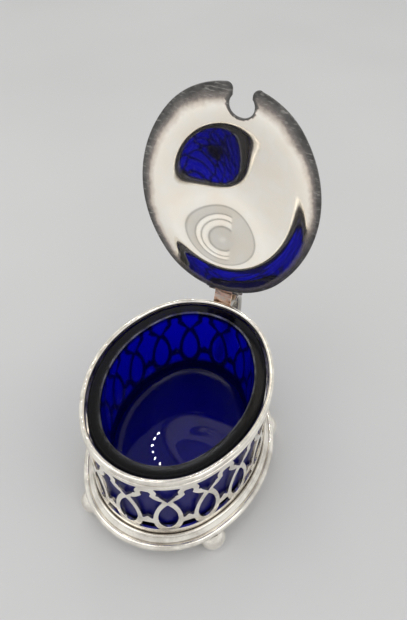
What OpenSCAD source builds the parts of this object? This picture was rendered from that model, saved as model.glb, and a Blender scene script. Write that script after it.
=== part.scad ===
// Oval pierced mustard pot with a glass liner and a hinged lid.
// The origin is on the table under the centre of the oval, the front is at -Y and the hinge at +Y.
// The lid is drawn standing open, and its pieces are described as they lie when it is shut.

/* [Oval body] */
// Radius of the two ends of the oval, outside the pierced wall
end_r = 22.6; // [20:0.2:26]
// Unit of the 3-4-5 triangles that the oval is set out from
oval_unit = 3.4; // [2.4:0.1:4.4]
// Height of the pierced wall
wall_h = 32; // [26:0.5:40]
// Thickness of the pierced wall
wall_t = 0.9; // [0.6:0.1:1.4]
// Gap left between soldered pieces that follow the same curve
seat_gap = 0.02; // [0.01:0.01:0.04]

/* [Rim] */
// Diameter of the rounded rim wire
rim_d = 1.64; // [1.4:0.02:2]
// How far the rim wire stands out from the wall
rim_proud = 0.64; // [0.5:0.02:0.8]
// How far the wall enters the rim wire
rim_seat = 0.24; // [0.1:0.02:0.4]
// Diameter of the reed under the rim wire
reed_d = 0.9; // [0.6:0.05:1.2]
// Drop from the middle of the rim wire to the middle of the reed
reed_drop = 1.6; // [1.2:0.05:2.2]

/* [Piercing] */
// Number of loops round the wall
loop_n = 16; // [12:1:20]
// Distance of the first loop from the front, along the wall
loop_shift = -1.2; // [-5:0.1:5]
// Height of the plain band under the piercing
low_band = 4.6; // [4:0.1:6]
// Height of the plain band over the piercing, up to the top of the wall
top_band = 3.3; // [2.6:0.1:5]
// How far the saw cuts reach past each face of the wall
saw_past = 0.8; // [0.6:0.1:1.2]

/* [Base] */
// How far the base spreads past the wall
flange_spread = 3.8; // [3:0.1:5]
// Diameter of the rounded edge of the base
flange_edge_d = 2.3; // [2.1:0.05:2.8]
// Thickness of the base plate behind that edge
flange_t = 2; // [1.6:0.1:2.05]
// Reach of the base plate inside the wall
flange_reach = 4; // [3:0.5:8]
// Width of the stepped ring at the foot of the wall
step_w = 1.9; // [1.6:0.05:2]
// Height of the sloping part of the stepped ring
step_h = 1.5; // [1.2:0.1:2]
// Height of the ring's outer edge under the slope
step_edge = 0.4; // [0.2:0.1:0.6]
// Diameter of the reed on top of the stepped ring
step_reed_d = 1.1; // [0.9:0.05:1.3]
// Thickness of the floor plate
floor_t = 0.8; // [0.6:0.1:1.2]

/* [Feet] */
// Diameter of a ball foot
foot_d = 8; // [7:0.1:9]
// Height of a ball foot, from the table to the base
foot_h = 6.75; // [6:0.05:7]
// Depth of the flat worn on the underside of a foot
foot_flat = 0.1; // [0.05:0.05:0.3]
// Distance of a foot's centre inside the edge of the base
foot_inset = 1.9; // [1:0.1:3]
// Distance of the front left foot from the front, along the wall
front_left_at = 18; // [14:0.1:24]
// Distance of the front right foot from the front, along the wall
front_right_at = 22.7; // [14:0.1:26]
// Distance of the back right foot from the back, along the wall
back_right_at = 27.4; // [20:0.1:32]
// Distance of the back left foot from the back, along the wall
back_left_at = 24; // [20:0.1:32]

/* [Glass liner] */
// Gap between the wall and the glass
liner_gap = 0.6; // [0.4:0.05:1]
// Drop from the crest of the rim to the top of the glass
liner_drop = 1; // [0.6:0.1:2]
// Thickness of the glass at its rim
glass_t = 3.7; // [3:0.1:4.5]
// Thickness of the glass floor
glass_floor = 3.3; // [2.5:0.1:5]
// How much thicker the glass gets towards its floor
glass_taper = 0.6; // [0:0.1:1.2]
// Radius of the glass rim's edges
glass_edge = 0.8; // [0.4:0.1:1.2]
// Radius of the outer edge of the glass floor
glass_heel = 2.5; // [1.5:0.1:3]
// Radius of the inner edge of the glass floor
glass_round = 3; // [2:0.1:4]

/* [Lid] */
// How far the lid's edge lies inside the outer face of the wall
lid_inset = 0.15; // [0:0.05:0.4]
// Gap between the rim's crest and the shut lid
lid_gap = 0.15; // [0.1:0.05:0.3]
// Thickness of the lid
lid_t = 0.9; // [0.7:0.1:1.2]
// Width of the flat border of the lid
brim_w = 3.2; // [2.5:0.1:5]
// Height of the dome over the border
dome_h = 5.5; // [3:0.1:8]
// Radius of the flat crown's round ends
crown_r = 2; // [1.5:0.1:4]
// Angle that the lid stands open
open_angle = 93; // [91:1:100]
// Diameter of the round part of the spoon notch
notch_d = 6.7; // [5:0.1:8]
// Width of the throat of the spoon notch
notch_throat = 5.2; // [4:0.1:6]
// Distance from the lid's front edge to the middle of the notch
notch_depth = 5.3; // [4.5:0.1:7]
// Radius of the rounded lips at the mouth of the notch
notch_lip = 1.6; // [1:0.1:2]
// Distance from the lid's front edge to the middle of the lips
lip_depth = 2.3; // [1.8:0.1:3]
// Distance of the notch from the middle of the lid, to the right
notch_side = 1.9; // [0:0.1:3]

/* [Hinge] */
// Distance of the pin's axis behind the wall
pin_back = 2.6; // [2.4:0.1:3]
// Height of the pin's axis over the rim's crest
pin_up = 4.1; // [3.8:0.1:5]
// Diameter of the hinge pin
pin_d = 0.95; // [0.8:0.05:1.1]
// Length of the hinge pin
pin_l = 12.2; // [10.5:0.1:14]
// Clearance round the pin, on the radius
pin_gap = 0.05; // [0.02:0.01:0.1]
// Outer diameter of the hinge tubes
tube_d = 1.9; // [1.7:0.05:2.2]
// Width of the body's hinge plate and of its tube
plate_w = 5.7; // [4.5:0.1:6]
// Thickness of the body's hinge plate
plate_t = 0.8; // [0.6:0.05:1]
// Height of the hinge plate's tab on the wall
plate_tab = 4.4; // [4:0.1:6]
// Gap between the hinge plate and the rim wire
plate_clear = 0.08; // [0.05:0.01:0.2]
// Gap between neighbouring hinge tubes
tube_gap = 0.1; // [0.05:0.05:0.2]
// Length of an outer tube and width of its arm
side_tube_l = 2.05; // [1.5:0.05:2.4]
// Thickness of the lid's hinge leaf
leaf_t = 0.8; // [0.6:0.05:1]
// Length of the leaf on the lid's border
leaf_l = 2.1; // [1.5:0.1:2.3]

/* [Thumbpiece] */
// Width of the thumbpiece
thumb_w = 7.6; // [5:0.1:10]
// Thickness of the thumbpiece
thumb_t = 1.2; // [0.9:0.1:1.6]
// Reach of the thumbpiece behind the pin
thumb_back = 7.6; // [6:0.1:9]
// Height of the thumbpiece over the pin
thumb_up = 4.6; // [4:0.1:6]

/* [Handle] */
// Width of the handle strap
handle_w = 4.3; // [3:0.1:6]
// Thickness of the handle strap
handle_t = 2.4; // [1.8:0.1:3]
// Radius of the two bends of the handle, at the middle of the strap
handle_r = 8.6; // [6:0.1:11]
// Straight run of the handle from the wall to its bends
handle_run = 7.4; // [5:0.1:10]
// Gap between the handle's lower end and the stepped ring under it
handle_gap = 1; // [0.6:0.1:3]
// Gap between the handle and the thumbpiece when the lid stands open
thumb_stop = 0.3; // [0.2:0.05:0.6]

/* [Hidden] */
$fn = 96;
silver = "#d9d6cf";
copper = "#b07a55";
cobalt = "#1c1f7a";

// Oval of four arcs, set out from four 3-4-5 triangles that meet at its middle.
// Every moulding has the same four centres.
half_w = end_r + oval_unit;
half_l = end_r + 3 * oval_unit;
end_c = 3 * oval_unit;
side_c = 4 * oval_unit;
side_r = end_r + 5 * oval_unit;
side_turn = atan2(3, 4);
end_turn = 90 - side_turn;
end_run = end_r * end_turn * PI / 180;
side_run = 2 * side_r * side_turn * PI / 180;
girth = 4 * end_run + 2 * side_run;
core_lap = 0.4;
tall = 4 * wall_h;
floor_core = 7;
// Share of the step ring's reed that stands over the slope, and where the slope ends under the reed
reed_over = 0.65;
slope_end = 0.8;

// Heights, from the table up
flange_z = foot_h + flange_edge_d / 2;
base_top = flange_z + flange_t / 2;
wall_top = base_top + wall_h;
rim_z = wall_top - rim_seat + rim_d / 2;
rim_crest = rim_z + rim_d / 2;
reed_z = rim_z - reed_drop;
glass_z = base_top + floor_t;
glass_top = rim_crest - liner_drop;
lid_z = rim_crest + lid_gap;
lid_top = lid_z + lid_t;

// Hinge
pin_y = half_l + pin_back;
pin_z = rim_crest + pin_up;
bore_r = pin_d / 2 + pin_gap;
side_tube_x = plate_w / 2 + tube_gap;
plate_y = half_l + rim_proud + plate_clear;
tab_top = reed_z - reed_d / 2 - plate_clear;
leaf_y = half_l - lid_inset - brim_w + (brim_w - leaf_l) / 2;

// Handle: its top passes just under the thumbpiece of the open lid, to a hundredth of a millimetre
thumb_tip = [pin_y + thumb_back, pin_z + thumb_up];
thumb_low = pin_z - thumb_back * sin(open_angle) + thumb_up * cos(open_angle);
handle_top = floor(100 * (thumb_low - thumb_stop)) / 100;
step_top = base_top + step_h + step_reed_d * reed_over;
bow_y = half_l + handle_run;
bow_high = handle_top - handle_t / 2 - handle_r;
bow_low = step_top + handle_gap + handle_t / 2 + handle_r;

// Points along an arc of a circle
function arc(c, r, from, to, n = 8) =
    [for (i = [0 : n]) let (a = from + (to - from) * i / n) c + r * [cos(a), sin(a)]];

// Points along a curve that starts at p, bends towards q and ends at r
function bend(p, q, r, n = 6) =
    [for (i = [0 : n]) let (t = i / n) (1 - t) * (1 - t) * p + 2 * t * (1 - t) * q + t * t * r];

// An outline from its right half, given from bottom to top
function both_sides(half) =
    concat(half, [for (i = [len(half) - 1 : -1 : 0]) [-half[i][0], half[i][1]]]);

// Place on the wall's outer face at a distance from the front along it: x, y and the angle it faces
function on_end(turn, e) = [end_r * sin(turn), e * end_c + e * end_r * cos(turn), e * (90 - turn)];
function on_side(turn) = [side_r * cos(turn) - side_c, side_r * sin(turn), turn];
function on_right(s) =
    s < end_run ? on_end(s / end_r * 180 / PI, -1)
    : s < end_run + side_run ? on_side((s - end_run) / side_r * 180 / PI - side_turn)
    : on_end((2 * end_run + side_run - s) / end_r * 180 / PI, 1);
function on_wall(s) =
    let (p = on_right(abs(s))) s < 0 ? [-p[0], p[1], 180 - p[2]] : p;
function wrap(s) = s - girth * round(s / girth);

// One arc of the oval: a profile turned about a centre and kept inside a wedge of a 3-4-5 triangle.
// The wedge opens by the two given steps, which is how the arcs meet on common faces.
module oval_arc(c, r, left, right) {
    intersection() {
        translate([c[0], c[1], 0])
            rotate_extrude()
                translate([r, 0]) children();
        linear_extrude(tall)
            polygon([c, c + half_l * right, c + half_l * left]);
    }
}

// Carries a profile, drawn as distance out from the wall and height, round the oval
module sweep() {
    union() {
        oval_arc([0, -end_c], end_r, [4, -3], [-4, -3]) children();
        oval_arc([-side_c, 0], side_r, [4, 3], [4, -3]) children();
        oval_arc([0, end_c], end_r, [-4, 3], [4, 3]) children();
        oval_arc([side_c, 0], side_r, [-4, -3], [-4, 3]) children();
    }
}

// Fills the middle that a sweep leaves open when its profile stops core_r short of the end centres
module core(core_r, from, to) {
    lens_r = side_r - end_r + core_r + core_lap;
    translate([0, 0, from])
        linear_extrude(to - from)
            intersection() {
                translate([side_c, 0]) circle(lens_r);
                translate([-side_c, 0]) circle(lens_r);
                square([2 * half_w, 2 * end_c + 2 * core_r + core_lap], center = true);
            }
}

// A flat oval plate, out past the wall by the given distance
module oval_plate(out, from, to) {
    union() {
        sweep() translate([floor_core - end_r, from]) square([end_r - floor_core + out, to - from]);
        core(floor_core, from, to);
    }
}

// Moves a piece of the shut lid to the open lid
module opened() {
    translate([0, pin_y, pin_z])
        rotate([-open_angle, 0, 0])
            translate([0, -pin_y, -pin_z]) children();
}

// Extrudes an outline, drawn as distance back and height, across the pot
module across(from, to) {
    translate([from, 0, 0]) rotate([90, 0, 90]) linear_extrude(to - from) children();
}

// A round bar across the pot on the hinge's axis
module hinge_bar(r, from, to) {
    translate([from, pin_y, pin_z]) rotate([0, 90, 0]) cylinder(r = r, h = to - from);
}

module hinge_tube(from, to) {
    difference() {
        hinge_bar(tube_d / 2, from, to);
        hinge_bar(bore_r, from - tube_gap, to + tube_gap);
    }
}

// Openings of one repeat: [across, up] as parts of the repeat's width and of the pierced height
loop_cut = both_sides(concat(
    [for (i = [0 : 8]) let (a = -90 + 90 * i / 8) [0.246 * cos(a), 0.302 + 0.237 * sin(a)]],
    bend([0.246, 0.302], [0.226, 0.5], [0.012, 0.635], 5)));
bell_cut = both_sides(concat(
    [[0, 0.335], [0.105, 0.274]],
    bend([0.133, 0.285], [0.168, 0.51], [0.372, 0.69]),
    bend([0.36, 0.726], [0.21, 0.755], [0.1, 0.836], 4),
    [[0.092, 0.848], [0.118, 0.877], [0.108, 0.918], [0.07, 0.94]]));
crest_cut = both_sides(
    [[0.008, 0.7], [0.172, 0.808], [0.192, 0.838], [0.262, 0.856], [0.243, 0.922], [0.31, 1]]);
foot_cut = both_sides(concat(
    bend([0.292, 0], [0.188, 0.05], [0.14, 0.165], 4), [[0.1, 0.178]]));

repeat_w = girth / loop_n;
pierced_z = base_top + low_band;
pierced_h = wall_h - low_band - top_band;

// Cuts one opening through the wall at a distance from the front
module saw_cut(outline, s) {
    p = on_wall(wrap(s));
    depth = wall_t + 2 * saw_past;
    translate([p[0], p[1], pierced_z])
        rotate([0, 0, p[2]])
            translate([-wall_t - saw_past, 0, 0])
                rotate([90, 0, 90])
                    linear_extrude(depth)
                        polygon([for (q = outline) [q[0] * repeat_w, q[1] * pierced_h]]);
}

module pierced_gallery() {
    color(silver)
        difference() {
            sweep() translate([-wall_t, base_top]) square([wall_t, wall_h]);
            for (i = [0 : loop_n - 1]) {
                at_loop = loop_shift + i * repeat_w;
                saw_cut(loop_cut, at_loop);
                saw_cut(crest_cut, at_loop);
                saw_cut(bell_cut, at_loop + repeat_w / 2);
                saw_cut(foot_cut, at_loop + repeat_w / 2);
            }
        }
}

module rim_profile() {
    difference() {
        union() {
            translate([rim_proud - rim_d / 2, rim_z]) circle(d = rim_d);
            translate([rim_proud - reed_d / 2, reed_z]) circle(d = reed_d);
            translate([0, reed_z]) square([rim_proud - reed_d / 3, reed_drop]);
        }
        translate([-wall_t - rim_d, 0]) square([wall_t + rim_d + seat_gap, wall_top]);
    }
}

module rim_wire() {
    color(silver) sweep() rim_profile();
}

module base_step_ring() {
    reed_r = step_reed_d / 2;
    color(silver)
        sweep()
            union() {
                translate([seat_gap, base_top])
                    polygon([[0, 0], [step_w, 0], [step_w, step_edge], [step_reed_d * slope_end, step_h], [0, step_h]]);
                translate([seat_gap, base_top + step_h - reed_r]) square([reed_r, step_reed_d]);
                translate([seat_gap + reed_r, step_top - reed_r]) circle(reed_r);
            }
}

// Section of the base, a plate with a rounded edge, made larger all round by grow
module flange_profile(grow = 0) {
    edge_r = flange_edge_d / 2;
    half_t = flange_t / 2 + grow;
    edge_turn = 180 - asin(half_t / (edge_r + grow));
    polygon(concat(
        [[-flange_reach - grow, flange_z + half_t], [-flange_reach - grow, flange_z - half_t]],
        arc([flange_spread - edge_r, flange_z], edge_r + grow, -edge_turn, edge_turn, 16)));
}

module base_flange() {
    color(silver) sweep() flange_profile();
}

module floor_plate() {
    color(silver) oval_plate(-wall_t - seat_gap, base_top, base_top + floor_t);
}

// A ball foot at a distance from the front along the wall, cut to fit under the base
module ball_foot(s) {
    p = on_wall(s);
    color(silver)
        difference() {
            translate([p[0], p[1], 0])
                rotate([0, 0, p[2]])
                    translate([flange_spread - foot_inset, 0, 0])
                        intersection() {
                            translate([0, 0, foot_d / 2 - foot_flat]) sphere(d = foot_d);
                            translate([-foot_d, -foot_d, 0]) cube(2 * foot_d);
                        }
            sweep() flange_profile(seat_gap);
        }
}

module foot_front_left() { ball_foot(-front_left_at); }
module foot_front_right() { ball_foot(front_right_at); }
module foot_back_right() { ball_foot(girth / 2 - back_right_at); }
module foot_back_left() { ball_foot(back_left_at - girth / 2); }

module glass_liner() {
    out = -wall_t - liner_gap;
    in_top = out - glass_t;
    in_low = in_top - glass_taper;
    inner_z = glass_z + glass_floor;
    middle = floor_core - end_r;
    color(cobalt, 0.9)
        union() {
            sweep()
                polygon(concat(
                    [[middle, glass_z]],
                    arc([out - glass_heel, glass_z + glass_heel], glass_heel, -90, 0),
                    arc([out - glass_edge, glass_top - glass_edge], glass_edge, 0, 90, 4),
                    arc([in_top + glass_edge, glass_top - glass_edge], glass_edge, 90, 180, 4),
                    arc([in_low - glass_round, inner_z + glass_round], glass_round, 0, -90),
                    [[middle, inner_z]]));
            core(floor_core, glass_z, inner_z);
        }
}

// The lid's section from its edge in to the crown: a flat border that sweeps up into a dome
module lid_profile() {
    edge = -lid_inset;
    foot = edge - brim_w;
    crown = crown_r + 2 * core_lap - end_r;
    chord = foot - crown;
    dome = [for (i = [0 : 14]) let (t = 1 - i / 14) [crown + t * chord, dome_h * pow(1 - t * t, 2)]];
    middle = crown_r - end_r;
    under = concat([[edge, 0]], dome, [[middle, dome_h]]);
    over = [for (i = [len(under) - 1 : -1 : 0]) under[i] + [0, lid_t]];
    translate([0, lid_z]) polygon(concat(under, over));
}

module spoon_notch() {
    y = lid_inset + notch_depth - half_l;
    lip = [notch_throat / 2 + notch_lip, lip_depth - notch_depth];
    throat_turn = acos(notch_throat / notch_d);
    translate([notch_side, y, lid_z - lid_t])
        linear_extrude(dome_h + 3 * lid_t)
            polygon(both_sides(concat(
                [[lip[0], -2 * notch_depth]],
                arc(lip, notch_lip, -90, -180),
                arc([0, 0], notch_d / 2, -throat_turn, 90, 12))));
}

module lid() {
    color(silver)
        opened()
            difference() {
                union() {
                    sweep() lid_profile();
                    core(crown_r, lid_z + dome_h, lid_top + dome_h);
                }
                spoon_notch();
            }
}

// Copper-coloured plate from a tab on the wall, out round the rim wire and up to the middle tube
module body_hinge_plate() {
    tab_z = tab_top - plate_tab;
    color(copper)
        difference() {
            across(-plate_w / 2, plate_w / 2)
                polygon([[half_l - wall_t / 2, tab_z], [plate_y + plate_t, tab_z],
                         [plate_y + plate_t, rim_z], [pin_y + plate_t / 2, pin_z],
                         [pin_y - plate_t / 2, pin_z], [plate_y, rim_z + plate_t / 2],
                         [plate_y, tab_top], [half_l - wall_t / 2, tab_top]]);
            sweep() translate([-wall_t - rim_d, base_top]) square([wall_t + rim_d + seat_gap, wall_h]);
            hinge_bar(tube_d / 2 + seat_gap, -plate_w, plate_w);
        }
}

module body_knuckle() {
    color(copper) hinge_tube(-plate_w / 2, plate_w / 2);
}

module hinge_pin() {
    color(silver) opened() hinge_bar(pin_d / 2, -pin_l / 2, pin_l / 2);
}

// Plate on the lid's border with an arm to each outer tube
module lid_hinge_leaf() {
    inner = side_tube_x;
    outer = side_tube_x + side_tube_l;
    root = leaf_y + leaf_l;
    color(silver)
        opened()
            difference() {
                union() {
                    across(-outer, outer)
                        polygon([[leaf_y, lid_top], [root, lid_top], [root, lid_top + leaf_t], [leaf_y, lid_top + leaf_t]]);
                    for (side = [-outer, inner])
                        across(side, side + side_tube_l)
                            polygon([[root - leaf_t, lid_top], [root, lid_top], [pin_y, pin_z - leaf_t / 2],
                                     [pin_y, pin_z + leaf_t / 2], [root - leaf_t, lid_top + leaf_t]]);
                }
                hinge_bar(tube_d / 2 + seat_gap, -2 * outer, 2 * outer);
            }
}

module lid_knuckle_left() {
    color(silver) opened() hinge_tube(-side_tube_x - side_tube_l, -side_tube_x);
}

module lid_knuckle_right() {
    color(silver) opened() hinge_tube(side_tube_x, side_tube_x + side_tube_l);
}

// Lever that stands on the leaf, arches over the hinge and rests over the handle when the lid is open
module thumbpiece() {
    root = [leaf_y, lid_top + leaf_t];
    high = [pin_y - pin_back, thumb_tip[1] + thumb_t];
    line = bend(root, high, thumb_tip, 10);
    back = bend(root + [thumb_t, 0], high + [thumb_t, -thumb_t], thumb_tip - [0, thumb_t], 10);
    color(silver)
        opened()
            across(-thumb_w / 2, thumb_w / 2)
                polygon(concat(line, [for (i = [10 : -1 : 0]) back[i]]));
}

// One straight end of the handle, from its start behind the wall to the bow
module handle_end(start, z) {
    translate([0, start, z])
        rotate([-90, 0, 0])
            linear_extrude(bow_y - start)
                rotate(90) handle_section();
}

// One quarter bend of the handle about a height, from the given angle
module handle_bend(z, from) {
    translate([0, bow_y, z])
        rotate([90, 0, 90])
            rotate_extrude(angle = 90, start = from)
                translate([handle_r, 0]) handle_section();
}

// Strap handle with two bends, its top end on the hinge plate and its lower end on the wall
module handle() {
    color(silver)
        difference() {
            union() {
                handle_bend(bow_high, 0);
                handle_bend(bow_low, -90);
                translate([0, bow_y + handle_r, bow_low])
                    linear_extrude(bow_high - bow_low)
                        rotate(90) handle_section();
                handle_end(plate_y + plate_t + seat_gap, bow_high + handle_r);
                handle_end(half_l - wall_t, bow_low - handle_r);
            }
            sweep() translate([-wall_t - rim_d, base_top]) square([wall_t + rim_d + seat_gap, wall_h]);
        }
}

// Section of the strap, thickness by width, with round sides
module handle_section() {
    side = (handle_w - handle_t) / 2;
    polygon(concat(
        arc([0, side], handle_t / 2, 0, 180, 10),
        arc([0, -side], handle_t / 2, 180, 360, 10)));
}

pierced_gallery();
rim_wire();
base_step_ring();
base_flange();
floor_plate();
foot_front_left();
foot_front_right();
foot_back_right();
foot_back_left();
glass_liner();
handle();
body_hinge_plate();
body_knuckle();
hinge_pin();
lid();
lid_hinge_leaf();
lid_knuckle_left();
lid_knuckle_right();
thumbpiece();
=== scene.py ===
import math

import bmesh
import bpy
from mathutils import Matrix, Vector
from mathutils.geometry import delaunay_2d_cdt

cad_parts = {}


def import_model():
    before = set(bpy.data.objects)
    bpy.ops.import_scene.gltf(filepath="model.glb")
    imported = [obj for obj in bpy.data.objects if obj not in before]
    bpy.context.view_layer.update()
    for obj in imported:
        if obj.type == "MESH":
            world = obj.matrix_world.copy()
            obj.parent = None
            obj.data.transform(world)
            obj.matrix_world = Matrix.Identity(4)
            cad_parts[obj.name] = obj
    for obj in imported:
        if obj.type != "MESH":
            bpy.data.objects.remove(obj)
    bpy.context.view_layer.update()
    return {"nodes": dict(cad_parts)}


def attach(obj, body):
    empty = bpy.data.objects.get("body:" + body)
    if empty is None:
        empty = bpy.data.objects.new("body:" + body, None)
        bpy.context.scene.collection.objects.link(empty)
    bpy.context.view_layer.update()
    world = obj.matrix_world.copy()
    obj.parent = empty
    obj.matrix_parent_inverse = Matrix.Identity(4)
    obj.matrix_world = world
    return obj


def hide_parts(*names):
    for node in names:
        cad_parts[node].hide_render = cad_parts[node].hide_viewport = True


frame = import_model()

# The pot's sizes are in millimetres, and MM turns them into metres
MM = 0.001

# Oval of four arcs, set out from 3-4-5 triangles
END_R = 22.6
UNIT = 3.4
END_C = 3 * UNIT
SIDE_C = 4 * UNIT
SIDE_R = END_R + 5 * UNIT
SIDE_TURN = math.atan2(3, 4)
END_TURN = math.pi / 2 - SIDE_TURN
END_RUN = END_R * END_TURN
SIDE_RUN = 2 * SIDE_R * SIDE_TURN
GIRTH = 4 * END_RUN + 2 * SIDE_RUN
HALF_W = END_R + UNIT
HALF_L = END_R + END_C
SEAT_GAP = 0.02
ROUND_STEPS = 320

# Heights
FLANGE_Z = 7.9
BASE_TOP = 8.9
FLOOR_TOP = 9.7
WALL_TOP = 40.9
RIM_Z = 41.48
REED_Z = 39.88
WALL_T = 0.9

# Mouldings: middle of each, as a distance out from the wall's outer face and a height, and its radius
RIM_OUT = -0.18
RIM_R = 0.82
REED_OUT = 0.19
REED_R = 0.45
STEP_EDGE = (1.8, 9.2)
STEP_EDGE_R = 0.12
STEP_REED = (0.57, 10.565)
STEP_REED_R = 0.55
FLANGE_OUT = 2.65
FLANGE_R = 1.15
FLANGE_HALF = 1.0
FLANGE_IN = -4.0

# Piercing
LOOP_N = 16
LOOP_SHIFT = -1.2
PITCH = GIRTH / LOOP_N
PIERCED_Z = 13.5
PIERCED_H = 24.1
EDGE_BREAK = 0.1

# Lid, shut
LID_Z = 42.45
LID_T = 0.9
LID_INSET = 0.15
LID_A = HALF_W - LID_INSET
LID_B = HALF_L - LID_INSET
DOME_H = 5.5
DOME_AT = 0.88
NOTCH = (1.9, -27.35)
NOTCH_R = 3.35
THROAT = 2.6
LIP_R = 1.6
LID_EDGE = 0.2

# Width of the lid's tarnished border: at the sides, and what the notch end, hinge end and right side add
BORDER_MID = 2.7
BORDER_FRONT = 2.3
BORDER_BACK = -0.9
BORDER_RIGHT = -0.3

# Liner: distances out from the wall's outer face, heights, and radii of its edges
LINER_LIFT = 0.05
LINER_OUT = -1.5
LINER_IN_TOP = -5.2
LINER_IN_LOW = -5.8
LINER_FLOOR = 13.0
LINER_TOP = 41.3
LINER_EDGE = 0.8
LINER_HEEL_R = 2.5
LINER_WELL_R = 3
LINER_CORE_R = 7.0

# Liner's dark rim, and its outer foot darkened as painted shade: heights where they start and fade, and how
# deep the foot's shade reaches
RIM_DARK = 38.9
RIM_FADE = 0.8
FOOT_SHADE_FULL = 14.3
FOOT_SHADE_END = 16.2
FOOT_SHADE_DEEP = -3.4
OUTER_SKIN = -2.2
UNDERSIDE = FLOOR_TOP + 1

# Band of painted highlight round the inner shoulder of the liner's rim, in degrees up from level
HIGHLIGHT_MID = 50
HIGHLIGHT_HALF = 40

# Hinge
PIN_Y = 35.4
PIN_Z = 46.4
OPEN_ANGLE = math.radians(93)
PIN_R = 0.475
PIN_L = 12.2
TUBE_R = 0.95
BORE_R = 0.525
PLATE_W = 5.7
PLATE_T = 0.8
PLATE_Y = 33.52
PLATE_STOP = PIN_Z - 0.75
TAB_TOP = 39.35
TAB_LOW = 34.95
TUBE_GAP = 0.1
SIDE_TUBE_L = 2.05
SIDE_TUBE_X = PLATE_W / 2 + TUBE_GAP
LEAF_Y = 30.0
LEAF_L = 2.1
LEAF_T = 0.8
LID_TOP = LID_Z + LID_T
ARM_UNDER = (PIN_Y - 0.55, PIN_Z - LEAF_T / 2 - 0.35)
ARM_OVER = (PIN_Y - 0.6, PIN_Z + LEAF_T / 2 - 0.4)

# Thumbpiece and handle
THUMB_W = 7.6
THUMB_T = 1.2
THUMB_TIP = (43.0, 51.0)
HANDLE_W = 4.3
HANDLE_T = 2.4
HANDLE_R = 8.6
BOW_Y = 40.2
BOW_HIGH = 28.46
BOW_LOW = 21.915

# Feet: each one's distance along the wall from the front, by the node that it stands for
FOOT_R = 4.0
FOOT_Z = 3.9
FOOT_OUT = 1.9
FEET = {
    "foot_front_left": -18.0,
    "foot_front_right": 22.7,
    "foot_back_right": GIRTH / 2 - 27.4,
    "foot_back_left": 24.0 - GIRTH / 2,
}


# Geometry helpers

def arc(centre, radius, start, stop, steps=10):
    """Points on an arc, angles in degrees."""
    turns = [math.radians(start + (stop - start) * i / steps) for i in range(steps + 1)]
    return [(centre[0] + radius * math.cos(t), centre[1] + radius * math.sin(t)) for t in turns]


def bend(p, q, r, steps=12):
    """Points on a curve from p to r that bends towards q."""
    out = []
    for i in range(steps + 1):
        t = i / steps
        a, b, c = (1 - t) ** 2, 2 * t * (1 - t), t * t
        out.append(tuple(a * p[k] + b * q[k] + c * r[k] for k in range(2)))
    return out


def on_wall(s):
    """Place and outward normal on the wall's outer face, a distance s from the front towards +X."""
    s = s % GIRTH
    mirrored = s > GIRTH / 2
    if mirrored:
        s = GIRTH - s
    if s < END_RUN:
        turn = s / END_R
        normal, centre, radius = (math.sin(turn), -math.cos(turn)), (0, -END_C), END_R
    elif s < END_RUN + SIDE_RUN:
        turn = (s - END_RUN) / SIDE_R - SIDE_TURN
        normal, centre, radius = (math.cos(turn), math.sin(turn)), (-SIDE_C, 0), SIDE_R
    else:
        turn = (GIRTH / 2 - s) / END_R
        normal, centre, radius = (math.sin(turn), math.cos(turn)), (0, END_C), END_R
    x = centre[0] + radius * normal[0]
    y = centre[1] + radius * normal[1]
    side = -1 if mirrored else 1
    return side * x, y, side * normal[0], normal[1]


def off_wall(s, out, z):
    """A point at a distance out from the wall's outer face."""
    x, y, nx, ny = on_wall(s)
    return x + nx * out, y + ny * out, z


def distance_out(x, y):
    """How far a point in plan lies outside the wall's outer face."""
    x, y = abs(x), abs(y)
    if math.atan2(x, y - END_C) < END_TURN:
        return math.hypot(x, y - END_C) - END_R
    return math.hypot(x + SIDE_C, y) - SIDE_R


def opened(p):
    """Moves a point of the shut lid to the open lid."""
    y, z = p[1] - PIN_Y, p[2] - PIN_Z
    c, s = math.cos(OPEN_ANGLE), math.sin(OPEN_ANGLE)
    return p[0], PIN_Y + y * c + z * s, PIN_Z - y * s + z * c


def inside(p, outline):
    """Whether a point in plan lies inside a closed outline."""
    x, y = p
    hit = False
    for (x0, y0), (x1, y1) in zip(outline, outline[1:] + outline[:1]):
        if (y0 > y) != (y1 > y) and x < (x1 - x0) * (y - y0) / (y1 - y0) + x0:
            hit = not hit
    return hit


def area_of(outline):
    """Signed area, positive when the outline runs anticlockwise."""
    pairs = zip(outline, outline[1:] + outline[:1])
    return sum(a[0] * b[1] - b[0] * a[1] for a, b in pairs) / 2


def shifted(outline, distance):
    """The outline moved out all round by a distance, or in where it is negative."""
    sign = 1 if area_of(outline) > 0 else -1
    count = len(outline)
    out = []
    for i, p in enumerate(outline):
        before = Vector(p) - Vector(outline[i - 1])
        after = Vector(outline[(i + 1) % count]) - Vector(p)
        n0 = Vector((before.y, -before.x)).normalized()
        n1 = Vector((after.y, -after.x)).normalized()
        mitre = n0 + n1
        mitre = mitre / max(mitre.dot(n0), 0.55)
        out.append(tuple(Vector(p) + sign * distance * mitre))
    return out


def along(a, b, gap):
    """Points from a up to b, without b, no further apart than the gap."""
    steps = max(1, math.ceil(math.dist(a, b) / gap))
    return [(a[0] + (b[0] - a[0]) * k / steps, a[1] + (b[1] - a[1]) * k / steps) for k in range(steps)]


def spaced(outline, gap):
    """The outline with points added so that none are further apart than the gap."""
    return [p for a, b in zip(outline, outline[1:] + outline[:1]) for p in along(a, b, gap)]


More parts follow.
